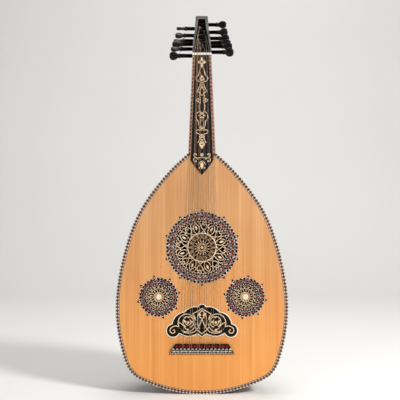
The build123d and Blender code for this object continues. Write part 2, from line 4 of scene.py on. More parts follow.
import bmesh
import bpy
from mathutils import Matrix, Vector


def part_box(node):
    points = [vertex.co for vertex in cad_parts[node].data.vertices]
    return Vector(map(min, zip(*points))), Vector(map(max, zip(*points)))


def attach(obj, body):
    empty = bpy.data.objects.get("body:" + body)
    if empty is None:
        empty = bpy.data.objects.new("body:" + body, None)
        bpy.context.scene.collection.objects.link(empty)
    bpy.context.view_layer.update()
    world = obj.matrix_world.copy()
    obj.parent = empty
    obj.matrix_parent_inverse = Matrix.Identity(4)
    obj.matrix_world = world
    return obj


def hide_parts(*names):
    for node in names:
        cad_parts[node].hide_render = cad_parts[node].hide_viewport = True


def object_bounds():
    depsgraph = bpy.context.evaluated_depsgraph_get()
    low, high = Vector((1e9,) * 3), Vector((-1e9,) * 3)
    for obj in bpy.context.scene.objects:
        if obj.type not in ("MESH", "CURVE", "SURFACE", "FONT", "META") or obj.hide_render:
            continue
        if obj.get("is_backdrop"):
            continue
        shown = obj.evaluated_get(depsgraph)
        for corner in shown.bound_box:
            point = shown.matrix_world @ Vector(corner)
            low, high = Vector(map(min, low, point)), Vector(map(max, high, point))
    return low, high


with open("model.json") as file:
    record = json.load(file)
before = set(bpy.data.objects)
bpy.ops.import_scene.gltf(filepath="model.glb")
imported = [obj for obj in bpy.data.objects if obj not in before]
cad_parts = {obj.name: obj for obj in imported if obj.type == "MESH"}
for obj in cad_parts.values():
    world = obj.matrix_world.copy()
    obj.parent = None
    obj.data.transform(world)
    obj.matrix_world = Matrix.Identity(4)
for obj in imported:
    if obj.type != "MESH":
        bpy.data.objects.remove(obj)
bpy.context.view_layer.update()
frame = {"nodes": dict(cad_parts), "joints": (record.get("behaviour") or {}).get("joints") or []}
MM = 0.001
nodes = frame["nodes"]

# ---- Camera, floor and light ----
# A long lens square to the soundboard, a little below the middle of the instrument, which stands on its
# tail end. The floor is a matt pale sweep, and the light is two soft panels and a low fill.

view_distance = 1600 * MM
view_height = 403.7 * MM
view_side = -4 * MM
lens_mm = 69.3


def hex_colour(code, alpha=1.0):
    """Linear colour of an sRGB hex code."""
    channels = [int(code[i:i + 2], 16) / 255 for i in (0, 2, 4)]
    linear = [c / 12.92 if c <= 0.04045 else ((c + 0.055) / 1.055) ** 2.4 for c in channels]
    return (*linear, alpha)


def add(tree, kind, inputs=None, **settings):
    """A node with its settings; an input takes a value or another node's output."""
    node = tree.nodes.new(kind)
    for name, value in settings.items():
        setattr(node, name, value)
    for name, value in (inputs or {}).items():
        if isinstance(value, bpy.types.NodeSocket):
            tree.links.new(value, node.inputs[name])
        else:
            node.inputs[name].default_value = value
    return node


def finish_material(name, **surface):
    """An empty material and its tree, with a Principled shader set up by socket name."""
    material = bpy.data.materials.new(name)
    material.use_nodes = True
    tree = material.node_tree
    shader = tree.nodes["Principled BSDF"]
    for socket, value in surface.items():
        shader.inputs[socket.replace("_", " ")].default_value = value
    return material, tree, shader


def maths(tree, operation, *values):
    """The output of one step of arithmetic."""
    return add(tree, "ShaderNodeMath", dict(enumerate(values)), operation=operation).outputs[0]


def ramp(tree, factor, stops):
    """A colour ramp from (position, hex code) pairs."""
    node = add(tree, "ShaderNodeValToRGB", {"Fac": factor})
    elements = node.color_ramp.elements
    elements[0].position, elements[0].color = stops[0][0], hex_colour(stops[0][1])
    elements[1].position, elements[1].color = stops[-1][0], hex_colour(stops[-1][1])
    for position, code in stops[1:-1]:
        elements.new(position).color = hex_colour(code)
    return node.outputs["Color"]


def link(tree, output, shader, socket):
    """Joins an output to one of a shader's sockets."""
    tree.links.new(output, shader.inputs[socket])


def bump(tree, shader, height, strength, distance):
    """Relief on a surface, from a height of 0 to 1 that stands for a distance in metres."""
    node = add(tree, "ShaderNodeBump", {"Height": height, "Strength": strength, "Distance": distance})
    link(tree, node.outputs["Normal"], shader, "Normal")


def new_object(name, mesh):
    """A linked object of a mesh."""
    thing = bpy.data.objects.new(name, mesh)
    bpy.context.scene.collection.objects.link(thing)
    return thing


sweep_front, sweep_back, sweep_top, sweep_side, sweep_radius = -3.0, 1.6, 3.2, 4.0, 0.9

# A painted studio sweep: matt, with a faint roller mottle.
paint, tree, shader = finish_material("matt painted sweep", Roughness=0.85)
mottle = add(tree, "ShaderNodeTexNoise", {"Scale": 3.0, "Detail": 3.0})
link(tree, ramp(tree, mottle.outputs["Fac"], [(0.3, "E6E4E0"), (0.7, "ECEAE6")]), shader, "Base Color")

profile = [(sweep_front, 0.0), (sweep_back, 0.0)]
for step in range(1, 13):
    turn = math.pi / 2 * step / 12
    profile.append((sweep_back + sweep_radius * math.sin(turn), sweep_radius * (1 - math.cos(turn))))
profile.append((sweep_back + sweep_radius, sweep_top))
shape = bmesh.new()
rows = [[shape.verts.new((x, y, z)) for x in (-sweep_side, sweep_side)] for y, z in profile]
for low, high in zip(rows, rows[1:]):
    shape.faces.new((low[0], low[1], high[1], high[0]))
mesh = bpy.data.meshes.new("sweep")
shape.to_mesh(mesh)
mesh.shade_smooth()
sweep = new_object("studio_sweep", mesh)
sweep.data.materials.append(paint)
sweep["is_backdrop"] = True

camera = bpy.data.objects.new("camera", bpy.data.cameras.new("camera"))
bpy.context.scene.collection.objects.link(camera)
camera.data.lens = lens_mm
camera.data.sensor_width = 36
camera.location = (view_side, -view_distance, view_height)
camera.rotation_euler = (math.pi / 2, 0, 0)
bpy.context.scene.camera = camera


def panel(name, place, target, size, power):
    """A soft square light aimed at a point."""
    light = bpy.data.lights.new(name, "AREA")
    light.shape = "RECTANGLE"
    light.size, light.size_y = size
    light.energy = power
    thing = bpy.data.objects.new(name, light)
    bpy.context.scene.collection.objects.link(thing)
    thing.location = place
    thing.rotation_euler = (Vector(target) - Vector(place)).to_track_quat("-Z", "Y").to_euler()


panel("key", (1.5, -1.25, 1.55), (0, 0, 0.35), (0.45, 0.45), 52)
panel("fill", (-1.9, -2.0, 0.9), (0, 0, 0.4), (1.6, 1.6), 14)
panel("top", (0.1, 0.5, 2.6), (0, 0.6, 0.3), (1.8, 1.4), 30)
world = bpy.data.worlds.new("studio air")
world.use_nodes = True
world.node_tree.nodes["Background"].inputs["Color"].default_value = hex_colour("DDE1E6")
world.node_tree.nodes["Background"].inputs["Strength"].default_value = 0.38
bpy.context.scene.world = world
bpy.context.scene.view_settings.view_transform = "Standard"

# ---- Bowl ----
# Fifteen thin staves bent over a mould and glued edge to edge, dark and lighter walnut by turns, with a
# light maple line let in at each joint. A walnut clasp covers their ends at the tail. Scraped, then
# finished with shellac.

stave_tones = {"dark": ("2A140B", "4A2614", "5E3319"), "light": ("5B3218", "84502A", "9A6336")}
grain_width = 1.6 * MM
maple_tones = ("C79C5E", "E0BC80")


def grain(tree, position, width, length, detail=6.0):
    """Noise drawn out along Z, a grain line wide and a streak long."""
    stretch = add(tree, "ShaderNodeMapping",
                  {"Vector": position, "Scale": (1 / width, 1 / width, 1 / length)})
    return add(tree, "ShaderNodeTexNoise",
               {"Vector": stretch.outputs["Vector"], "Scale": 1.0, "Detail": detail,
                "Roughness": 0.6}).outputs["Fac"]


def object_place(tree):
    """Where a point is on the instrument."""
    return add(tree, "ShaderNodeTexCoord").outputs["Object"]


def wood(name, tones, width=grain_width, length=70 * MM, relief=0.02 * MM, **surface):
    """A wood whose grain runs along Z: growth streaks, fine pores and their slight relief."""
    material, tree, shader = finish_material(name, **surface)
    place = object_place(tree)
    streaks = grain(tree, place, width * 4, length * 2, 3.0)
    pores = grain(tree, place, width * 0.35, length * 0.12)
    mixed = maths(tree, "MULTIPLY", streaks, 0.72)
    both = maths(tree, "MULTIPLY_ADD", pores, 0.28, mixed)
    stops = [(0.36 + 0.28 * i / (len(tones) - 1), code) for i, code in enumerate(tones)]
    link(tree, ramp(tree, both, stops), shader, "Base Color")
    bump(tree, shader, pores, 0.6, relief)
    return material


def paint_node(name, material):
    """Gives a CAD node one material all over."""
    nodes[name].data.materials.clear()
    nodes[name].data.materials.append(material)
    for face in nodes[name].data.polygons:
        face.use_smooth = False


# Walnut under shellac: brown with darker streaks along each stave, a warm satin shine.
walnut = {tone: wood(f"shellacked walnut, {tone}", codes, Roughness=0.28, Coat_Weight=0.4,
                     Coat_Roughness=0.12)
          for tone, codes in stave_tones.items()}
# Maple lines: pale straw, too thin to show their grain.
maple = wood("maple line", maple_tones, Roughness=0.32, Coat_Weight=0.3)
staves = sorted(name for name in nodes if name.startswith("rib_") and name[4:].isdigit())
for number, name in enumerate(staves):
    paint_node(name, walnut["dark" if number % 2 == 0 else "light"])
paint_node("rib_lines", maple)
paint_node("tail_clasp", walnut["dark"])

# ---- Soundboard, braces and blocks ----
# Two spruce halves cut from one board and opened like a book, so that their grain mirrors about the joint;
# thin amber varnish outside. Bare spruce braces and end blocks are glued behind it.

spruce_tones = ("B98350", "C78F5C", "CE9966", "D6A474")
growth_ring = 1.9 * MM
board = nodes["soundboard_treble_half"]


def spruce(name, tones, **surface):
    """Quarter-sawn spruce: even growth lines along Z, wider apart in places, over slow changes of tone;
    painted light makes it brighter and paler towards the bottom, fading out 0.42 m up.
    """
    material, tree, shader = finish_material(name, **surface)
    place = object_place(tree)
    parts = add(tree, "ShaderNodeSeparateXYZ", {"Vector": place})
    side = maths(tree, "ABSOLUTE", parts.outputs["X"])
    folded = add(tree, "ShaderNodeCombineXYZ", {"X": side, "Y": parts.outputs["Y"],
                                                "Z": parts.outputs["Z"]}).outputs["Vector"]
    lines = grain(tree, folded, growth_ring * 0.5, 420 * MM, 2.0)
    bands = grain(tree, folded, growth_ring * 5, 900 * MM, 2.0)
    patches = grain(tree, place, 60 * MM, 150 * MM, 2.0)
    pores = grain(tree, folded, 0.35 * MM, 6 * MM, 2.0)
    total = maths(tree, "MULTIPLY", lines, 0.42)
    for source, share in ((bands, 0.3), (patches, 0.18), (pores, 0.1)):
        total = maths(tree, "MULTIPLY_ADD", source, share, total)
    stops = [(0.40 + 0.22 * i / (len(tones) - 1), code) for i, code in enumerate(tones)]
    wood_tone = ramp(tree, total, stops)
    # Painted light: a pale amber soft-light tint lightens the wood towards the bottom of the board, fading
    # out 0.42 m up.
    height = add(tree, "ShaderNodeMapRange",
                 {"Value": parts.outputs["Z"], "From Min": 0.0, "From Max": 0.42,
                  "To Min": 1.0, "To Max": 0.0}, interpolation_type="SMOOTHSTEP")
    painted_light_blend = add(tree, "ShaderNodeMix", {"Factor": height.outputs[0], 6: wood_tone, 7: hex_colour("F2C184")},
               data_type="RGBA", blend_type="SOFT_LIGHT")
    link(tree, painted_light_blend.outputs[2], shader, "Base Color")
    bump(tree, shader, lines, 0.35, 0.03 * MM)
    return material


# Spruce under thin varnish: warm amber, close straight lines, a soft shine, and painted light that
# brightens the lower board.
spruce_with_painted_light = spruce("amber varnished spruce, painted light below", spruce_tones, Roughness=0.38, Coat_Weight=0.15,
                      Coat_Roughness=0.25)
bare_spruce = wood("bare spruce", ("C9A66D", "DDBD86"), Roughness=0.7)
for name in ("soundboard_bass_half", "soundboard_treble_half"):
    paint_node(name, spruce_with_painted_light)
for name in ("soundboard_braces", "neck_block", "tail_block"):
    paint_node(name, bare_spruce)

# ---- Edge binding ----
# A band of mosaic let in all round the soundboard: wine-red diamonds on bone white, with a row of dark
# triangles along each side of them and a thin black line inside. Each tile is sawn, glued down and scraped
# level.

tile_lift = 0.12 * MM
tile_depth = 0.6 * MM
rose_places = [(0.0, 304.8, 84.0), (90.0, 201.8, 49.0)]     # centre and reach of the roses it leaves out
band_pitch = 7.1 * MM


def tile_material(name, code, spread, **surface):
    """A tile's finish: one colour that differs a little from tile to tile."""
    material, tree, shader = finish_material(name, **surface)
    change = add(tree, "ShaderNodeTexNoise",
                 {"Vector": object_place(tree), "Scale": 1 / (9 * MM), "Detail": 1.0})
    shade = add(tree, "ShaderNodeMapRange",
                {"Value": change.outputs["Fac"], "From Min": 0.3, "From Max": 0.7,
                 "To Min": 1 - spread, "To Max": 1 + spread})
    tone = add(tree, "ShaderNodeHueSaturation", {"Value": shade.outputs[0], "Color": hex_colour(code)})
    link(tree, tone.outputs["Color"], shader, "Base Color")
    return material


# Tiles: stained wood in wine red and black, cattle bone, and mother of pearl that shimmers pink and green.
red_tile = tile_material("red stained hardwood", "7E1406", 0.35, Roughness=0.5, Specular_IOR_Level=0.1)
brown_tile = tile_material("brown stained hardwood", "4A1D12", 0.3, Roughness=0.32, Coat_Weight=0.3)
black_tile = tile_material("black stained hardwood", "060505", 0.2, Roughness=0.5, Specular_IOR_Level=0.1)
bone_tile = tile_material("cattle bone", "E9DCC8", 0.12, Roughness=0.35, Coat_Weight=0.3)


def pearl(name, stops, scale):
    """Mother of pearl: cloudy patches of colour in a thin pearly film."""
    material, tree, shader = finish_material(name, Roughness=0.22, Coat_Weight=0.5)
    cloud = add(tree, "ShaderNodeTexNoise",
                {"Vector": object_place(tree), "Scale": 1 / scale, "Detail": 2.0})
    link(tree, ramp(tree, cloud.outputs["Fac"], stops), shader, "Base Color")
    return material


pearl_tile = pearl("mother of pearl",
                   [(0.34, "B9D6C8"), (0.47, "E8DCE0"), (0.55, "F7F4EE"), (0.66, "D9A9B4")], 11 * MM)


def node_group(name, result, **inputs):
    """An empty Geometry Nodes tree and its input node, with its result and the kind of each input named."""
    tree = bpy.data.node_groups.new(name, "GeometryNodeTree")
    for socket, kind in inputs.items():
        tree.interface.new_socket(socket, in_out="INPUT", socket_type=f"NodeSocket{kind}")
    tree.interface.new_socket(result, in_out="OUTPUT", socket_type="NodeSocketGeometry")
    return tree, add(tree, "NodeGroupInput")


def tile_tree(name, rows):
    """Rows of tiles along a curve in the soundboard's plane.

    A row is (inputs, material): how many tiles or their pitch, how far to the side of the curve, how many
    corners, how long and wide, which of every so many to keep, and a turn in the plane."""
    tree, entry = node_group(name, "Tiles", Path="Geometry", Lift="Float", Depth="Float")
    joined = add(tree, "GeometryNodeJoinGeometry")
    front = (0.0, -1.0, 0.0)
    for row, material in rows:
        counted = "count" in row
        points = add(tree, "GeometryNodeCurveToPoints", {"Curve": entry.outputs["Path"],
                                                         "Count" if counted
                                                         else "Length": row.get("count", row.get("pitch"))},
                     mode="COUNT" if counted else "LENGTH")
        across = add(tree, "ShaderNodeVectorMath", {0: points.outputs["Tangent"], 1: front},
                     operation="CROSS_PRODUCT")
        shift = add(tree, "ShaderNodeVectorMath", {0: across.outputs[0], "Scale": row["side"]},
                    operation="SCALE")
        placed = add(tree, "GeometryNodeSetPosition", {"Geometry": points.outputs["Points"],
                                                       "Offset": shift.outputs[0]})
        turned = add(tree, "FunctionNodeAxesToRotation", {"Primary Axis": front,
                                                          "Secondary Axis": points.outputs["Tangent"]},
                     primary_axis="Z", secondary_axis="X")
        tile = add(tree, "GeometryNodeMeshCylinder", {"Vertices": row["corners"], "Radius": 0.5,
                                                      "Depth": entry.outputs["Depth"]})
        spun = add(tree, "GeometryNodeTransform", {"Geometry": tile.outputs["Mesh"],
                                                   "Rotation": (0.0, 0.0,
                                                                math.radians(row.get("turn", 0)))})
        sized = add(tree, "GeometryNodeTransform", {"Geometry": spun.outputs["Geometry"],
                                                    "Scale": (row["size"][0], row["size"][1], 1.0)})
        every, first = row.get("every", (1, 0))
        index = add(tree, "GeometryNodeInputIndex")
        rest = maths(tree, "MODULO", index.outputs[0], float(every))
        keep = maths(tree, "COMPARE", rest, float(first), 0.1)
        laid = add(tree, "GeometryNodeInstanceOnPoints",
                   {"Points": placed.outputs[0], "Instance": sized.outputs[0],
                    "Selection": keep,
                    "Rotation": turned.outputs[0]})
        real = add(tree, "GeometryNodeRealizeInstances", {"Geometry": laid.outputs[0]})
        coloured = add(tree, "GeometryNodeSetMaterial", {"Geometry": real.outputs[0], "Material": material})
        tree.links.new(coloured.outputs[0], joined.inputs[0])
    half = maths(tree, "MULTIPLY", entry.outputs["Depth"], 0.5)
    back = maths(tree, "SUBTRACT", half, entry.outputs["Lift"])
    offset = add(tree, "ShaderNodeCombineXYZ", {"Y": back})
    sunk = add(tree, "GeometryNodeTransform",
               {"Geometry": joined.outputs[0], "Translation": offset.outputs[0]})
    add(tree, "NodeGroupOutput", {"Tiles": sunk.outputs[0]})
    return tree


def path_curve(name, lines, closed=False):
    """A curve object through lists of points given as (x, y, z)."""
    curve = bpy.data.curves.new(name, "CURVE")
    curve.dimensions = "3D"
    for line in lines:
        spline = curve.splines.new("POLY")
        spline.points.add(len(line) - 1)
        for point, place in zip(spline.points, line):
            point.co = (*place, 1.0)
        spline.use_cyclic_u = closed
    return new_object(name, curve)


def grown(source, tree, **inputs):
    """Runs a Geometry Nodes tree on an object with its inputs set, and keeps the result as a plain mesh."""
    modifier = source.modifiers.new("make", "NODES")
    modifier.node_group = tree
    for item in tree.interface.items_tree:
        if item.in_out == "INPUT" and item.name in inputs:
            modifier[item.identifier] = inputs[item.name]
    bpy.context.view_layer.update()
    mesh = bpy.data.meshes.new_from_object(source.evaluated_get(bpy.context.evaluated_depsgraph_get()))
    name = source.name
    bpy.data.objects.remove(source)
    return new_object(name, mesh)


def fasten(thing, body):
    """Puts a finished piece on its body."""
    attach(thing, body)
    return thing


def board_edge():
    """Outline of the soundboard's treble side, from the tail end up to the heel."""
    back = max(v.co.y for v in board.data.vertices)
    corners = set()
    for v in board.data.vertices:
        clear = all(math.hypot(v.co.x - x * MM, v.co.z - z * MM) > r * MM for x, z, r in rose_places)
        if v.co.y > back - 0.01 * MM and clear and (v.co.x > 0.5 * MM or v.co.z < 0.5 * MM):
            corners.add((round(v.co.x, 6), round(v.co.z, 6)))
    return sorted(corners, key=lambda c: math.atan2(c[0], -(c[1] - 0.2)))


edge = board_edge()
edge_lines = [[(side * x, 0.0, z) for x, z in edge] for side in (1, -1)]
for name, lines, side in (("edge_mosaic_treble", edge_lines[:1], 1),
                          ("edge_mosaic_bass", edge_lines[1:], -1)):
    rows = [
        ({"pitch": band_pitch, "side": -side * 3.7 * MM, "corners": 4, "size": (6.6 * MM, 5.2 * MM)},
         brown_tile),
        ({"pitch": band_pitch / 2, "side": -side * 1.15 * MM, "corners": 4, "size": (4.2 * MM, 2.3 * MM),
          "every": (2, 1)}, bone_tile),
        ({"pitch": band_pitch / 2, "side": -side * 1.0 * MM, "corners": 4, "size": (2.6 * MM, 1.8 * MM),
          "every": (2, 0)}, black_tile),
        ({"pitch": band_pitch / 2, "side": -side * 6.0 * MM, "corners": 4, "size": (3.0 * MM, 1.8 * MM),
          "every": (2, 1)}, pearl_tile),
        ({"pitch": band_pitch / 2, "side": -side * 7.2 * MM, "corners": 4, "turn": 45,
          "size": (5.4 * MM, 0.9 * MM)},
         black_tile),
    ]
    tiles = grown(path_curve(name, lines), tile_tree(name, rows), Lift=tile_lift, Depth=tile_depth)
    fasten(tiles, "oud")
edge_ground = tile_material("grey stained maple", "95816F", 0.25, Roughness=0.5)
paint_node("edge_binding", edge_ground)

# ---- Rose rings ----
# Round each sound hole lies a mosaic ring with small points: rows of black, red and pearl tiles on a ground
# of smaller pearl pieces, glued into a recess in the soundboard and scraped level.

rings = {
    "large": {"centre": (0.0, 304.8), "outer": 74.4, "inner": 54.0, "reds": 30, "points": 10, "turn": 18.0},
    "small_bass": {"centre": (-90.0, 201.8), "outer": 40.5, "inner": 25.5, "reds": 16, "points": 8,
                   "turn": 12.5},
    "small_treble": {"centre": (90.0, 201.8), "outer": 40.5, "inner": 25.5, "reds": 16, "points": 8,
                     "turn": -8.0},
}
ring_face = -0.2 * MM                # a ring stands this far out of the soundboard


def circle_path(name, centre, radius, start, steps=120):
    """A closed circle in the soundboard's plane, from a starting direction in degrees."""
    angles = [math.radians(start) + 2 * math.pi * i / steps for i in range(steps)]
    line = [((centre[0] + radius * math.cos(a)) * MM, ring_face, (centre[1] + radius * math.sin(a)) * MM)
            for a in angles]
    return path_curve(name, [line], closed=True)


# Ground of a ring: a crowd of small pearl, pink and grey chips with dark glue between them.
chips, tree, shader = finish_material("pearl chip mosaic", Roughness=0.35, Coat_Weight=0.3)
cells = add(tree, "ShaderNodeTexVoronoi", {"Vector": object_place(tree), "Scale": 1 / (2.3 * MM)},
            feature="F1")
edges = add(tree, "ShaderNodeTexVoronoi", {"Vector": object_place(tree), "Scale": 1 / (2.3 * MM)},
            feature="DISTANCE_TO_EDGE")
chip_parts = add(tree, "ShaderNodeSeparateColor", {"Color": cells.outputs["Color"]})
chip_tone = ramp(tree, chip_parts.outputs[0],
                 [(0.0, "1C1513"), (0.3, "8A6C60"), (0.45, "C39E8C"), (0.55, "2E2522"),
                  (0.72, "A58E80"), (0.85, "D8C3B2"), (1.0, "4A3A36")])
joint = add(tree, "ShaderNodeMapRange",
            {"Value": edges.outputs["Distance"], "From Min": 0.02, "From Max": 0.10})
glued = add(tree, "ShaderNodeMix", {"Factor": joint.outputs[0], 6: hex_colour("3A2E29"), 7: chip_tone},
            data_type="RGBA")
link(tree, glued.outputs[2], shader, "Base Color")

for name, ring in rings.items():
    wide, reds = ring["outer"] - ring["inner"], ring["reds"]
    middle = (ring["outer"] + ring["inner"]) / 2
    start = ring["turn"] + 180 / reds
    step = 2 * math.pi * middle / reds

    def row(material, radius, count, length, width, corners=4, every=(1, 0), spin=0):
        """One row of a ring: its radius, number of tiles and tile size in millimetres."""
        return ({"count": count, "side": (radius - middle) * MM, "corners": corners, "every": every,
                 "turn": spin,
                 "size": (length * MM, width * MM)}, material)

    rows = [
        row(black_tile, ring["outer"] - 2.5, 2 * reds, step * 0.5, 5.2),
        row(pearl_tile, ring["outer"] - 1.3, 4 * reds, step * 0.2, 2.2, every=(2, 1)),
        row(red_tile, middle + 0.6, 2 * reds, step * 0.52, 5.8, every=(2, 0)),
        row(black_tile, middle + 0.6, 2 * reds, step * 0.42, 5.0, every=(2, 1)),
        row(black_tile, middle + wide * 0.2, 4 * reds, step * 0.2, 2.8, every=(2, 1)),
        row(black_tile, middle - wide * 0.2, 4 * reds, step * 0.22, 3.0, every=(2, 1)),
        row(bone_tile, middle + wide * 0.17, 2 * reds, step * 0.16, 2.0, every=(2, 1)),
        row(bone_tile, middle - wide * 0.22, 2 * reds, step * 0.16, 2.0, every=(2, 0)),
        row(black_tile, ring["inner"] + 2.3, 2 * reds, step * 0.42, 4.2, every=(1, 0)),
        row(pearl_tile, ring["inner"] + 1.0, 4 * reds, step * 0.13, 1.6, every=(2, 1)),
        row(pearl_tile, middle + wide * 0.27, 3 * reds, step * 0.3, 2.6, every=(7, 3)),
    ]
    tiles = grown(circle_path(f"ring_tiles_{name}", ring["centre"], middle, start), tile_tree(name, rows),
                  Lift=tile_lift, Depth=tile_depth)
    fasten(tiles, "oud")
    tips = [row(black_tile, ring["outer"] + 3.3, ring["points"], 4.4, 4.6),
            row(bone_tile, ring["outer"] + 0.2, ring["points"], 3.4, 2.4)]
    points = grown(circle_path(f"ring_tips_{name}", ring["centre"], middle, ring["turn"]),
                   tile_tree(f"tips_{name}", tips), Lift=tile_lift, Depth=tile_depth)
    fasten(points, "oud")
    paint_node(f"rose_ring_{name}", chips)

# ---- Roses ----
# Each sound hole holds a rose fretted from pale wood with a fine saw: bands that cross and part like
# knotwork, cut from one sheet and glued behind the soundboard. A turned hub sits in the middle.

rose_front, rose_back = 2.2 * MM, 4.2 * MM
# Fretted maple: pale cream, satin.
fret = wood("fretted maple", ("EFC79A", "FFE3BF"), Roughness=0.42)
fine_fret = wood("fine fretted walnut", ("A88262", "D0A880"), Roughness=0.5)


def ribbon_tree(name, material):
    """Flat bands along curves in the soundboard's plane, each a width across and a thickness through."""
    tree, entry = node_group(name, "Bands", Lines="Geometry", Width="Float", Thickness="Float",
                             Repeats="Int", Centre="Vector")
    upright = add(tree, "GeometryNodeSetCurveNormal",
                  {"Curve": entry.outputs["Lines"], "Normal": (0.0, -1.0, 0.0)},
                  mode="FREE")
    section = add(tree, "GeometryNodeCurvePrimitiveQuadrilateral", {"Width": entry.outputs["Thickness"],
                                                                    "Height": entry.outputs["Width"]})
    band = add(tree, "GeometryNodeCurveToMesh", {"Curve": upright.outputs["Curve"],
                                                 "Profile Curve": section.outputs["Curve"],
                                                 "Fill Caps": True})
    spots = add(tree, "GeometryNodeMeshLine",
                {"Count": entry.outputs["Repeats"], "Start Location": (0, 0, 0),
                 "Offset": (0, 0, 0)})
    index = add(tree, "GeometryNodeInputIndex")
    step = maths(tree, "DIVIDE", 2 * math.pi, entry.outputs["Repeats"])
    angle = maths(tree, "MULTIPLY", index.outputs[0], step)
    turn = add(tree, "ShaderNodeCombineXYZ", {"Y": angle})
    copies = add(tree, "GeometryNodeInstanceOnPoints", {"Points": spots.outputs["Mesh"],
                                                        "Instance": band.outputs["Mesh"],
                                                        "Rotation": turn.outputs[0]})
    moved = add(tree, "GeometryNodeTransform", {"Geometry": copies.outputs[0],
                                                "Translation": entry.outputs["Centre"]})
    real = add(tree, "GeometryNodeRealizeInstances", {"Geometry": moved.outputs[0]})
    coloured = add(tree, "GeometryNodeSetMaterial", {"Geometry": real.outputs[0], "Material": material})
    add(tree, "NodeGroupOutput", {"Bands": coloured.outputs[0]})
    return tree


def smooth_line(points, steps=6, closed=False):
    """Points on a smooth curve through the given ones."""
    count = len(points)
    found = []
    spans = count if closed else count - 1
    for i in range(spans):
        if closed:
            before, start, end, after = (points[(i + k) % count] for k in (-1, 0, 1, 2))
        else:
            before, start = points[max(i - 1, 0)], points[i]
            end, after = points[i + 1], points[min(i + 2, count - 1)]
        for j in range(steps):
            t = j / steps
            found.append(tuple(0.5 * (2 * b + (c - a) * t + (2 * a - 5 * b + 4 * c - d) * t * t
                                      + (3 * b - a - 3 * c + d) * t ** 3)
                               for a, b, c, d in zip(before, start, end, after)))
    return found if closed else found + [points[-1]]


def flat_lines(lines, depth=0.0):
    """Lines given as (x, z) in millimetres, as points in metres at one depth."""
    return [[(x * MM, depth, z * MM) for x, z in line] for line in lines]


def polar_line(points):
    """A smooth line through (radius, angle in degrees) points about the centre."""
    return smooth_line([(r * math.cos(math.radians(a)), r * math.sin(math.radians(a))) for r, a in points])


def mirrored(lines, about=0.0):
    """Lines and their mirror images; polar lines are mirrored about an angle."""
    return lines + [[(r, 2 * about - a) for r, a in line] for line in lines]


def bands(name, material, lines, width, repeats=1, centre=(0.0, 0.0), depth=(rose_front, rose_back)):
    """A piece made of flat bands along (x, z) lines, repeated about a centre."""
    middle = (depth[0] + depth[1]) / 2
    curve = path_curve(name, flat_lines(lines))
    return grown(curve, ribbon_tree(name, material), Width=width * MM, Thickness=depth[1] - depth[0],
                 Repeats=repeats, Centre=(centre[0] * MM, middle, centre[1] * MM))


def join(pieces, name):
    """Several pieces made one."""
    with bpy.context.temp_override(active_object=pieces[0], selected_editable_objects=pieces):
        bpy.ops.object.join()
    pieces[0].name = pieces[0].data.name = name
    return pieces[0]


def plate(name, material, outlines, front, back):
    """Flat pieces with the given (x, z) outlines in millimetres, between two depths."""
    shape = bmesh.new()
    for outline in outlines:
        face = shape.faces.new([shape.verts.new((x * MM, back, z * MM)) for x, z in outline])
        lifted = bmesh.ops.extrude_face_region(shape, geom=[face])
        verts = [v for v in lifted["geom"] if isinstance(v, bmesh.types.BMVert)]
        bmesh.ops.translate(shape, verts=verts, vec=(0, front - back, 0))
    bmesh.ops.recalc_face_normals(shape, faces=shape.faces)
    bmesh.ops.triangulate(shape, faces=[f for f in shape.faces if len(f.verts) > 4])
    mesh = bpy.data.meshes.new(name)
    shape.to_mesh(mesh)
    thing = new_object(name, mesh)
    thing.data.materials.append(material)
    return thing


def ring_points(radius, steps=48):
    """A closed circle as (radius, angle) points."""
    return [(radius, 360 * i / steps) for i in range(steps + 1)]


def lens(radius, angle, length, width, steps=10):
    """An almond outline that points outwards from the centre, as (x, z)."""
    found = []
    for side in (1, -1):
        for i in range(steps):
            t = i / steps if side > 0 else 1 - i / steps
            along, across = (t - 0.5) * length, side * width / 2 * math.sin(math.pi * t) ** 0.8
            a = math.radians(angle)
            found.append(((radius + along) * math.cos(a) - across * math.sin(a),
                          (radius + along) * math.sin(a) + across * math.cos(a)))
    return found


large_centre = rings["large"]["centre"]
almond, knot = 16.5, -6.0            # directions of the first almond and of the first knot
arabesque = mirrored([
    [(29.6, almond - 3), (35.5, almond - 8.5), (42, almond - 8.8), (48, almond - 4.6), (52.5, almond)],
    [(29.6, almond - 11), (33.5, knot + 2.6), (37.5, knot - 2.4), (43, knot - 7.6), (48.5, knot - 5.5),
     (53.5, knot)],
    [(42, almond - 8.8), (46.5, almond - 12.5), (51, almond - 11), (54, almond - 7)],
    [(46.5, knot), (49.5, knot + 3.0), (54, knot + 5)],
], almond)
lattice = bands("arabesque", fret, [polar_line(line) for line in arabesque], 1.25, 8, large_centre)
solid_rings = [[(r * math.cos(math.radians(a)), r * math.sin(math.radians(a)))
                for r, a in ring_points(radius)]
               for radius in (29.6, 54.8)]
frame_rings = bands("rose_hoops", fret, solid_rings, 2.0, 1, large_centre,
                    (rose_front - 0.25 * MM, rose_back))
almonds = []
for i in range(8):
    outline = lens(42.4, almond + 45 * i, 9.8, 4.0)
    almonds.append([(x + large_centre[0], z + large_centre[1]) for x, z in outline])
seeds = plate("almonds", fret, almonds, rose_front, rose_back)
hub_line = [[(2.7 * 0.5 * math.cos(a), 2.7 * 0.5 * math.sin(a)) for a in
             [2 * math.pi * i / 16 for i in range(17)]]]
hub = bands("rose_hub", fret, hub_line, 2.7, 1, large_centre, (rose_front - 0.4 * MM, rose_back))
petals = mirrored([
    [(4.5, 0), (9, 4.5), (13.5, 9), (17.5, 11.25)],
    [(17.5, 11.25), (20.5, 6.2), (24, 5.2), (28.8, 7.6)],
], 11.25)
sun = bands("sunburst", fine_fret, [polar_line(line) for line in petals], 0.75, 16, large_centre)
rays = bands("sun_rays", fret, [polar_line([(5, 0), (9.5, 0)]), polar_line([(12, 11.25), (16, 11.25)]),
                                polar_line([(20.5, 0), (29, 0)])], 0.75, 16,
             large_centre, (rose_front - 0.1 * MM, rose_back))
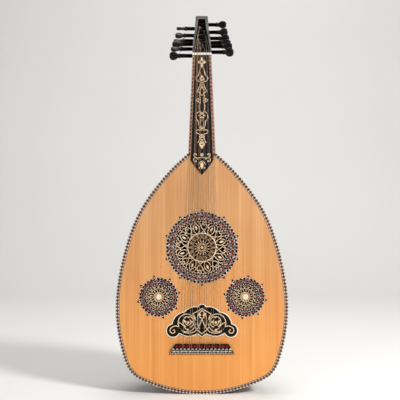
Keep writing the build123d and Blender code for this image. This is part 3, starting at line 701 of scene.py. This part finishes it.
fine_hoops = bands("fine_hoops", fine_fret,
                   [[(r * math.cos(math.radians(a)), r * math.sin(math.radians(a)))
                     for r, a in ring_points(radius)]
                    for radius in (19.5,)], 0.7, 1, large_centre)
rose = join([lattice, frame_rings, seeds, hub, sun, rays, fine_hoops], "large_rose")
fasten(rose, "oud")
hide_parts("rose_large")

for name in ("small_bass", "small_treble"):
    centre, turn = rings[name]["centre"], rings[name]["turn"]
    strands = mirrored([
        [(5.0, turn + 2), (9, turn + 16), (13, turn + 24), (18, turn + 22.5)],
        [(13, turn), (17, turn + 9), (21, turn + 16), (25.6, turn + 19)],
        [(17, turn + 22.5), (21, turn + 6), (25.6, turn + 3)],
    ], turn)
    mesh_bands = bands(f"lattice_{name}", fret, [polar_line(line) for line in strands], 0.6, 8, centre)
    spokes = bands(f"spokes_{name}", fret, [polar_line([(6.5, turn), (13, turn)]),
                                            polar_line([(19.5, turn + 11.25), (25.6, turn + 11.25)])], 0.55,
                   16, centre)
    hoops = [[(r * math.cos(math.radians(a)), r * math.sin(math.radians(a)))
              for r, a in ring_points(radius)]
             for radius in (10.0, 18.0, 26.2)]
    hoop = bands(f"hoops_{name}", fret, hoops, 0.7, 1, centre)
    disc = bands(f"disc_{name}", fret, [[(3.0 * math.cos(a), 3.0 * math.sin(a)) for a in
                                         [2 * math.pi * i / 24 for i in range(25)]]], 5.9, 1, centre,
                 (rose_front - 0.4 * MM, rose_back))
    small = join([mesh_bands, spokes, hoop, disc], f"rose_{name}_fret")
    fasten(small, "oud")
    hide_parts(f"rose_{name}")

# ---- Plectrum guard ----
# A thin dark plate glued below the large rose, where the plectrum strikes. Its edge is lined with bone, and
# scrolls, two round flowers and a tulip are let into it in pale wood.

guard_front = -0.8 * MM
inlay_lift = 0.14 * MM
guard_arcs = [((0.0, 188.2), (5.2, 186.9), (8.7, 182.6)), ((8.7, 182.6), (24.5, 181.0), (36.8, 171.9)),
              ((36.8, 171.9), (53.5, 164.6), (62.7, 147.1)), ((62.7, 147.1), (72.0, 123.2), (46.8, 125.7)),
              ((46.8, 125.7), (27.0, 119.6), (9.8, 124.6)), ((9.8, 124.6), (4.2, 121.2), (0.0, 116.6))]


def arc_line(start, middle, end, steps=14):
    """Points on the circle through three points, from the first to the last."""
    (ax, ay), (bx, by), (cx, cy) = start, middle, end
    d = 2 * (ax * (by - cy) + bx * (cy - ay) + cx * (ay - by))
    sa, sb, sc = ax * ax + ay * ay, bx * bx + by * by, cx * cx + cy * cy
    x = (sa * (by - cy) + sb * (cy - ay) + sc * (ay - by)) / d
    y = (sa * (cx - bx) + sb * (ax - cx) + sc * (bx - ax)) / d
    first, mid, last = (math.atan2(q[1] - y, q[0] - x) for q in (start, middle, end))
    clockwise = (first - mid) % math.tau < (first - last) % math.tau
    sweep_angle = -((first - last) % math.tau) if clockwise else (last - first) % math.tau
    radius = math.hypot(ax - x, ay - y)
    return [(x + radius * math.cos(first + sweep_angle * i / steps),
             y + radius * math.sin(first + sweep_angle * i / steps))
            for i in range(steps + 1)]


def inset_line(line, distance):
    """A line moved to its right-hand side by a distance."""
    moved = []
    for i, (x, z) in enumerate(line):
        (ax, az), (bx, bz) = line[max(i - 1, 0)], line[min(i + 1, len(line) - 1)]
        length = math.hypot(bx - ax, bz - az) or 1.0
        moved.append((x + (bz - az) / length * distance, z - (bx - ax) / length * distance))
    return moved


def both_hands(lines):
    """Lines and their mirror images about the centre line."""
    return lines + [[(-x, z) for x, z in line] for line in lines]


def round_line(x, z, width, height, first=0, last=360, steps=32):
    """Part of an ellipse, between two angles."""
    turns = [math.radians(first + (last - first) * i / steps) for i in range(steps + 1)]
    return [(x + width * math.cos(a), z + height * math.sin(a)) for a in turns]


# Guard: near-black rosewood, oiled and rubbed; inlay: pale boxwood; edge line: bone.
rosewood = wood("oiled black rosewood", ("060303", "0E0706", "180D0A"), Roughness=0.5,
                Specular_IOR_Level=0.15)
boxwood = wood("boxwood inlay", ("F0C896", "FFE2B8"), Roughness=0.45)
bone_line = wood("bone edge line", ("F6E0C2", "FFF1DC"), Roughness=0.4)
border = [point for arc in guard_arcs for point in inset_line(arc_line(*arc), 0.95)]
guard_depth = (guard_front - inlay_lift, guard_front + 0.4 * MM)
guard_edge = bands("guard_edge", bone_line, both_hands([border]), 1.9, depth=guard_depth)
scrolls = [
    [(0, 157), (2.5, 150), (5.5, 142), (10.7, 135), (17.4, 129.2), (27.8, 127.0), (36.9, 129),
     (43.5, 134.4), (48.5, 140.4), (57.0, 141.8), (64.5, 137.6), (66.2, 131.3), (61.9, 126.9),
     (57.0, 128.6), (56.4, 132.5), (59.8, 134.2)],
    [(19.3, 167.3), (14.6, 160), (13.5, 150), (14.8, 142), (10.7, 135), (5, 129.8), (0, 125.6)],
    [(0, 178.8), (4, 175.4), (8.9, 172.7), (19.3, 167.3)],
    [(6.4, 169.6), (9.0, 160), (9.4, 150), (7.6, 142), (4.4, 136.6)],
    [(0, 174.4), (5.6, 167.4), (4.4, 161.0), (0, 156.6)],
    [(49.2, 149.6), (43, 146.8), (38.4, 142.6), (34.4, 137.0), (30.6, 134.4)],
]
scrolls = [smooth_line(line) for line in scrolls] + [
    round_line(31.4, 148.4, 18.2, 18.7), round_line(28.0, 150.4, 11.4, 11.6, -60, 250),
    round_line(28.4, 149.8, 5.6, 6.2, 120, 390)]
inlay = bands("guard_scrolls", boxwood, both_hands(scrolls), 1.55, depth=guard_depth)
buds = [round_line(x, z, w, h, steps=14)[:-1] for x, z, w, h in
        ((28.8, 149.4, 2.4, 2.7), (27.8, 160.6, 2.6, 2.0), (29.6, 134.2, 2.5, 2.0), (36.2, 152.0, 1.6, 2.4),
         (20.4, 150.6, 1.5, 2.4), (58.4, 133.6, 2.0, 1.7), (3.4, 165.0, 1.5, 2.6))]
buds = plate("guard_buds", boxwood, both_hands(buds), *guard_depth)
fasten(join([guard_edge, inlay, buds], "guard_inlay"), "oud")
paint_node("plectrum_guard", rosewood)

# ---- Bridge ----
# One dark hardwood piece glued to the soundboard: the strings tie through its front block, and a low apron
# behind spreads the pull. Its faces are covered with rows of red, black and bone triangles and diamonds.

bridge_front_z, bridge_step_z, bridge_rear_z = 105.0, 98.0, 84.0
bridge_half_front, bridge_half_rear = 55.5, 67.5
block_face, apron_top, apron_foot = -9.0, -5.0, -2.5
bridge_margin = 2.0                  # bare wood at each end of a row of tiles
bridge_tile_depth = 1.2 * MM
bridge_wood = wood("dark stained hardwood", ("0A0605", "180E0B"), Roughness=0.5, Specular_IOR_Level=0.15)
paint_node("bridge", bridge_wood)


def bridge_row(name, z, count, rows, lift=0.18 * MM):
    """Rows of tiles across the bridge at one height, as deep as its face is there."""
    share = (bridge_front_z - z) / (bridge_front_z - bridge_rear_z)
    half = bridge_half_front + (bridge_half_rear - bridge_half_front) * share - bridge_margin
    fall = (bridge_step_z - z) / (bridge_step_z - bridge_rear_z)
    depth = block_face if z > bridge_step_z else apron_top + (apron_foot - apron_top) * fall
    line = [(-half * MM, depth * MM, z * MM), (half * MM, depth * MM, z * MM)]
    made = [({"count": count, "side": side * MM, "corners": corners, "turn": turn, "every": every,
              "size": (size[0] * MM, size[1] * MM)}, material)
            for side, corners, turn, every, size, material in rows]
    return grown(path_curve(name, [line]), tile_tree(name, made), Lift=lift, Depth=bridge_tile_depth)


bridge_tiles = [
    bridge_row("bridge_reds", 101.2, 31,
               [(0, 4, 0, (2, 1), (6.2, 5.4), red_tile), (-1.6, 3, 0, (2, 0), (3.4, 3.0), black_tile)]),
    bridge_row("bridge_triangles", 95.0, 16, [(0, 3, 90, (1, 0), (6.4, 5.6), bone_tile)]),
    bridge_row("bridge_stars", 90.2, 31,
               [(0, 4, 0, (2, 1), (5.0, 4.4), bone_tile), (0, 4, 0, (2, 0), (2.4, 2.2), pearl_tile)]),
    bridge_row("bridge_hearts", 90.2, 31, [(0, 4, 0, (2, 1), (2.0, 1.8), red_tile)], 0.28 * MM),
    bridge_row("bridge_border", 86.0, 41, [(0, 4, 0, (1, 0), (2.3, 2.2), bone_tile)]),
]
fasten(join(bridge_tiles, "bridge_mosaic"), "oud")

# ---- Neck and fingerboard ----
# A hardwood neck, round behind, dovetailed into the body. On its flat front lie a black fingerboard without
# frets, which runs on to a point over the soundboard, and a mosaic strip along each edge. Fine scrollwork
# fills the middle.

neck_foot, nut_z = 500.0, 705.0
neck_half_foot, neck_half_nut = 28.5, 19.75
strip_width = 6.4
board_face = -0.8 * MM
mahogany = wood("dark mahogany", ("1B0C07", "32180E", "43210F"), Roughness=0.3, Coat_Weight=0.4,
                Coat_Roughness=0.1)
ebony = wood("polished ebony", ("070404", "120B0A", "1E1412"), width=1.0 * MM, Roughness=0.5,
             Specular_IOR_Level=0.25)
strip_ground = tile_material("cream stained maple", "A88E7A", 0.15, Roughness=0.4)
paint_node("neck", mahogany)
for name in ("fingerboard", "fingerboard_point"):
    paint_node(name, ebony)
paint_node("fingerboard_edge_strips", strip_ground)

for name, side in (("treble", 1), ("bass", -1)):
    foot, top = (neck_half_foot - strip_width / 2) * side, (neck_half_nut - strip_width / 2) * side
    line = [(foot * MM, board_face, neck_foot * MM), (top * MM, board_face, nut_z * MM)]
    rows = [({"pitch": 7.9 * MM, "side": 0.0, "corners": 4, "size": (6.4 * MM, 4.6 * MM)}, red_tile),
            ({"pitch": 3.95 * MM, "side": -side * 2.4 * MM, "corners": 4, "every": (2, 1),
              "size": (3.0 * MM, 1.9 * MM)}, brown_tile),
            ({"pitch": 4.0 * MM, "side": -side * 3.0 * MM, "corners": 4, "turn": 45,
              "size": (6.0 * MM, 1.0 * MM)}, black_tile)]
    tiles = grown(path_curve(f"neck_mosaic_{name}", [line]), tile_tree(f"neck_{name}", rows),
                  Lift=tile_lift, Depth=tile_depth)
    fasten(tiles, "oud")

vines = [
    [(0.6, 681), (3.6, 676), (6.0, 668), (7.6, 662.6), (11.2, 660), (12.2, 656), (9.5, 651.4), (4, 649.2),
     (0, 648)],
    [(0, 648), (2.6, 645.6), (4.8, 641), (6.6, 636), (8.6, 631.8), (10.9, 629.3), (6.6, 627.6), (4.6, 624),
     (5.6, 619.8), (3.4, 616.6)],
    [(1.6, 636.4), (4.2, 631.6), (3.6, 625.6), (1.2, 620.8)],
    [(3.4, 616.6), (7.2, 614.6), (12.2, 611.3), (8.2, 608), (3.8, 605.6), (3.2, 611), (3.4, 616.6)],
    [(3.8, 605.6), (5.8, 600), (5.6, 592), (4.4, 587.6), (1.2, 585.6)],
    [(4.4, 587.6), (9.4, 585.2), (11.6, 580), (11.8, 574), (9.8, 569.6), (7.4, 566), (6.6, 560), (4.8, 554),
     (2.2, 549.6), (0, 547.5)],
    [(2.0, 571), (3.2, 564), (2.4, 556), (0, 550.6)],
    [(0, 547.5), (4, 549), (9, 549.4), (12, 547), (10.6, 542.6), (6, 541), (0, 535.6), (-4.6, 529.6),
     (-8.6, 522.4)],
    [(0, 541), (4.0, 537.2), (4.0, 532), (0, 528), (-4.4, 523)],
    [(0, 492), (4.6, 491.4), (9.2, 490.6), (14, 492.6), (16.8, 496.4), (15.5, 500.2), (12.6, 499.4)],
    [(13.6, 492.2), (17.2, 488.6), (16.0, 483.8), (12.2, 483.2)],
    [(0, 485), (4, 482), (7.6, 477.2)], [(0, 502), (0, 484)],
]
vine_depth = (board_face - inlay_lift, board_face + 0.4 * MM)
vine_lines = both_hands([smooth_line(line) for line in vines])
vine_lines += [round_line(0, 640, 2.6, 2.8, steps=16), round_line(0, 579.2, 3.2, 3.4, steps=16)]
stems = bands("fingerboard_vines", boxwood, vine_lines, 1.45, depth=vine_depth)


def leaf(points):
    """A leaf outline from the points of its right-hand side, tip to foot."""
    return points + [(-x, z) for x, z in reversed(points) if x]


leaves = [
    leaf([(0, 701.0), (2.0, 697.4), (3.6, 694.4), (6.4, 692.4), (9.2, 689.8), (6.2, 687.6), (3.6, 686.4),
          (2.4, 684.6), (0, 683.6)]),
    leaf([(0, 685), (4.0, 682.4), (0, 679.2)]),
    leaf([(0, 663.6), (3.2, 659), (5.9, 654.2), (3.6, 651.8), (0, 651.2)]),
    leaf([(0, 509.6), (3.0, 514.4), (6.6, 519.8), (3.8, 523.2), (0, 524.8)]),
    leaf([(0, 502.4), (3.8, 498.4), (1.8, 495), (0, 493)]),
    leaf([(0, 467.2), (2.4, 472), (3.6, 476.6), (1.6, 481), (0, 484)]),
]
for turn in range(0, 360, 60):
    x, z = 5.4 * math.cos(math.radians(turn)), 579.2 + 5.4 * math.sin(math.radians(turn))
    leaves.append(round_line(x, z, 1.7, 1.7, steps=10)[:-1])
for x, z, size in ((8.6, 490.4, 2.2), (12.6, 498.4, 1.8), (12.4, 484.2, 1.8), (6.6, 611.3, 1.5),
                   (5.6, 470.6, 1.4)):
    leaves += [round_line(side * x, z, size, size, steps=12)[:-1] for side in (1, -1)]
blades = plate("fingerboard_leaves", boxwood, leaves, *vine_depth)
eyes = [round_line(0, z, 1.5, 2.3, steps=12)[:-1] for z in (690.8, 656.0, 519.2)]
pupils = plate("fingerboard_eyes", ebony, eyes, vine_depth[0] - 0.08 * MM, vine_depth[1])
fasten(join([stems, blades, pupils], "fingerboard_scrollwork"), "oud")

# ---- Nut ----
# A bar of bone glued across the end of the fingerboard, filed with a slot for each string and polished.

paint_node("nut",
           wood("polished bone", ("E9DECB", "F7F0E2"), width=0.8 * MM, Roughness=0.25, Coat_Weight=0.3))

# ---- Peg box ----
# Two curved cheeks, a curved back and a block at the far end, glued up and lacquered black; the block is
# left reddish brown in front. A cap closes the end.

# Black lacquer over wood: deep black, glossy, with the grain just showing and purple-brown lights.
lacquer = wood("black lacquered wood", ("080505", "100A0B", "181012"), Roughness=0.34,
               Specular_IOR_Level=0.2)
red_lacquer = wood("red-brown lacquered wood", ("1A0A07", "2C130C"), Roughness=0.4, Specular_IOR_Level=0.3)
for name in ("pegbox_cheek_bass", "pegbox_cheek_treble", "pegbox_back"):
    paint_node(name, lacquer)
for name in ("pegbox_end_block", "pegbox_cap"):
    paint_node(name, red_lacquer)

# ---- Pegs and their turns of string ----
# Each peg is turned from hardwood and blacked: a tapered shaft that wedges in both cheeks, a collar, and a
# flat rounded head for finger and thumb. Its string passes round it in close turns.

peg_radius, peg_taper, peg_tip = 3.9, 1 / 60, 1.0
collar_length = 2.4
head_reach = 20.0
peg_end_round = 0.6
head_sections = [(-0.2, 3.4, 3.3), (0.4, 4.9, 4.5), (2.2, 4.4, 3.6), (5.0, 7.0, 3.3), (8.0, 8.9, 3.3),
                 (11.0, 9.55, 3.4), (14.0, 9.3, 3.7), (16.8, 8.2, 3.8), (19.0, 5.8, 3.2), (19.9, 2.8, 1.9)]
head_turn = [5, 15, 50, 35, 25, 60, 70, 20, 40, 10, 85, 45]
peg_corners = 28
peg_joints = {joint["child"]: joint["pos_m"] for joint in frame["joints"]}
strings = [(10, 4.7, 0.65), (8, 9.6, 0.65), (6, 8.3, 0.80), (4, 1.0, 0.80), (2, 5.3, 0.72), (1, 0.6, 0.72),
           (3, -2.8, 0.85), (5, -4.3, 0.85), (7, -7.9, 1.00), (9, -8.1, 1.00), (11, -4.6, 1.20)]
turns_wound = 4.0


def wire(name, winding, groove_shade, shine):
    """A string's finish: its covering, wound round it in fine turns with a slight bump; between the turns
    the colour falls to painted shade in the grooves.
    """
    metal = 0.0 if winding == groove_shade else 0.85
    material, tree, shader = finish_material(name, Roughness=shine, Metallic=metal)
    parts = add(tree, "ShaderNodeSeparateXYZ", {"Vector": object_place(tree)})
    ridges = maths(tree, "MULTIPLY", parts.outputs["Z"], math.tau / (0.7 * MM))
    wave = maths(tree, "SINE", ridges)
    height = add(tree, "ShaderNodeMapRange", {"Value": wave, "From Min": -1.0, "From Max": 1.0})
    # Painted shade: the colour darkens from the winding's tone on each turn to the groove shade between
    # turns, following the relief.
    link(tree, ramp(tree, height.outputs[0], [(0.0, groove_shade), (1.0, winding)]), shader, "Base Color")
    if winding != groove_shade:
        bump(tree, shader, height.outputs[0], 0.5, 0.04 * MM)
    return material


# Bass strings: silk wound with brass-washed copper, with painted shade in the grooves between turns; treble
# strings: clear nylon, slightly amber.
wound_wire = wire("copper wound silk", "B59B7C", "6A5442", 0.42)
nylon = wire("clear nylon", "B8A698", "B8A698", 0.35)
shader = nylon.node_tree.nodes["Principled BSDF"]
shader.inputs["Transmission Weight"].default_value = 0.85
shader.inputs["IOR"].default_value = 1.5


def lofted(name, sections, material):
    """A closed solid through ellipses along X: (distance, half height, half depth, turn in degrees)."""
    shape = bmesh.new()
    rows = []
    for out, tall, deep, turn in sections:
        a = math.radians(turn)
        row = []
        for i in range(peg_corners):
            t = math.tau * i / peg_corners
            z, y = tall * math.cos(t), deep * math.sin(t)
            row.append(shape.verts.new((out * MM, (y * math.cos(a) - z * math.sin(a)) * MM,
                                        (y * math.sin(a) + z * math.cos(a)) * MM)))
        rows.append(row)
    for near, far in zip(rows, rows[1:]):
        for i in range(peg_corners):
            j = (i + 1) % peg_corners
            shape.faces.new((near[i], near[j], far[j], far[i]))
    shape.faces.new(rows[0])
    shape.faces.new(rows[-1])
    bmesh.ops.recalc_face_normals(shape, faces=shape.faces)
    mesh = bpy.data.meshes.new(name)
    shape.to_mesh(mesh)
    for face in mesh.polygons:
        face.use_smooth = len(face.vertices) == 4
    mesh.materials.append(material)
    return new_object(name, mesh)


def coil_tree():
    """Close turns of wire round a shaft along X."""
    tree, entry = node_group("turns of string", "Coil", Start="Geometry", Turns="Float",
                             Radius="Float", Wire="Float", Place="Float", Finish="Material")
    height = maths(tree, "MULTIPLY", entry.outputs["Turns"], entry.outputs["Wire"])
    spiral = add(tree, "GeometryNodeCurveSpiral", {"Resolution": 20, "Rotations": entry.outputs["Turns"],
                                                   "Start Radius": entry.outputs["Radius"],
                                                   "End Radius": entry.outputs["Radius"],
                                                   "Height": height})
    thick = maths(tree, "MULTIPLY", entry.outputs["Wire"], 0.5)
    section = add(tree, "GeometryNodeCurvePrimitiveCircle", {"Resolution": 8, "Radius": thick})
    tube = add(tree, "GeometryNodeCurveToMesh", {"Curve": spiral.outputs["Curve"],
                                                 "Profile Curve": section.outputs["Curve"],
                                                 "Fill Caps": True})
    half = maths(tree, "MULTIPLY", height, -0.5)
    start = maths(tree, "ADD", entry.outputs["Place"], half)
    shift = add(tree, "ShaderNodeCombineXYZ", {"X": start})
    laid = add(tree, "GeometryNodeTransform",
               {"Geometry": tube.outputs["Mesh"], "Translation": shift.outputs[0],
                "Rotation": (0.0, math.pi / 2, 0.0)})
    real = add(tree, "GeometryNodeRealizeInstances", {"Geometry": laid.outputs[0]})
    coloured = add(tree, "GeometryNodeSetMaterial", {"Geometry": real.outputs[0],
                                                     "Material": entry.outputs["Finish"]})
    add(tree, "NodeGroupOutput", {"Coil": coloured.outputs[0]})
    return tree


coil = coil_tree()
for number in range(1, 13):
    name = f"peg_{number:02d}"
    low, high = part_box(name)
    side = -1 if number % 2 else 1
    near, far = (-high.x / MM, -low.x / MM) if side < 0 else (low.x / MM, high.x / MM)
    face = -near - peg_tip
    shoulder = far - collar_length - head_reach
    radius_at = [(out, peg_radius + (out - face) * peg_taper)
                 for out in (near, near + peg_end_round, shoulder)]
    sections = [(near, radius_at[0][1] - 0.5, radius_at[0][1] - 0.5, 0)]
    sections += [(out, r, r, 0) for out, r in radius_at[1:]]
    sections += [(shoulder + out, r, r, 0)
                 for out, r in ((0.0, 4.6), (0.5, 5.4), (1.2, 5.6), (1.9, 5.3), (2.3, 4.4))]
    turn = head_turn[number - 1]
    sections += [(shoulder + collar_length + out, tall, deep, turn) for out, tall, deep in head_sections]
    peg = lofted(f"{name}_turned", sections, lacquer)
    pieces = [peg]
    for peg_number, x, wire_size in strings:
        if peg_number == number:
            out = x * side
            radius = peg_radius + (out - face) * peg_taper + wire_size / 2
            start = path_curve(f"{name}_turns", [[(0, 0, 0), (0, 0, MM)]])
            finish = wound_wire if wire_size >= 0.85 else nylon
            pieces.append(grown(start, coil, Turns=turns_wound - 1, Radius=radius * MM,
                                Wire=wire_size * MM * 0.98, Place=out * MM, Finish=finish))
    whole = join(pieces, f"{name}_with_turns")
    _, y, z = peg_joints[name]
    for v in whole.data.vertices:
        v.co = (v.co.x * side, v.co.y * side + y, v.co.z + z)
    fasten(whole, name)
    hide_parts(name)

# ---- Strings ----
# Eleven strings in six courses, five of them pairs. The bass courses are wound, and the trebles are plain
# nylon. Each is tied round the bridge's front block, and runs over the nut to its peg.

for course in range(1, 7):
    paint_node(f"string_course_{course}", wound_wire if course >= 4 else nylon)
    for face in nodes[f"string_course_{course}"].data.polygons:
        face.use_smooth = True

low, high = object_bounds()
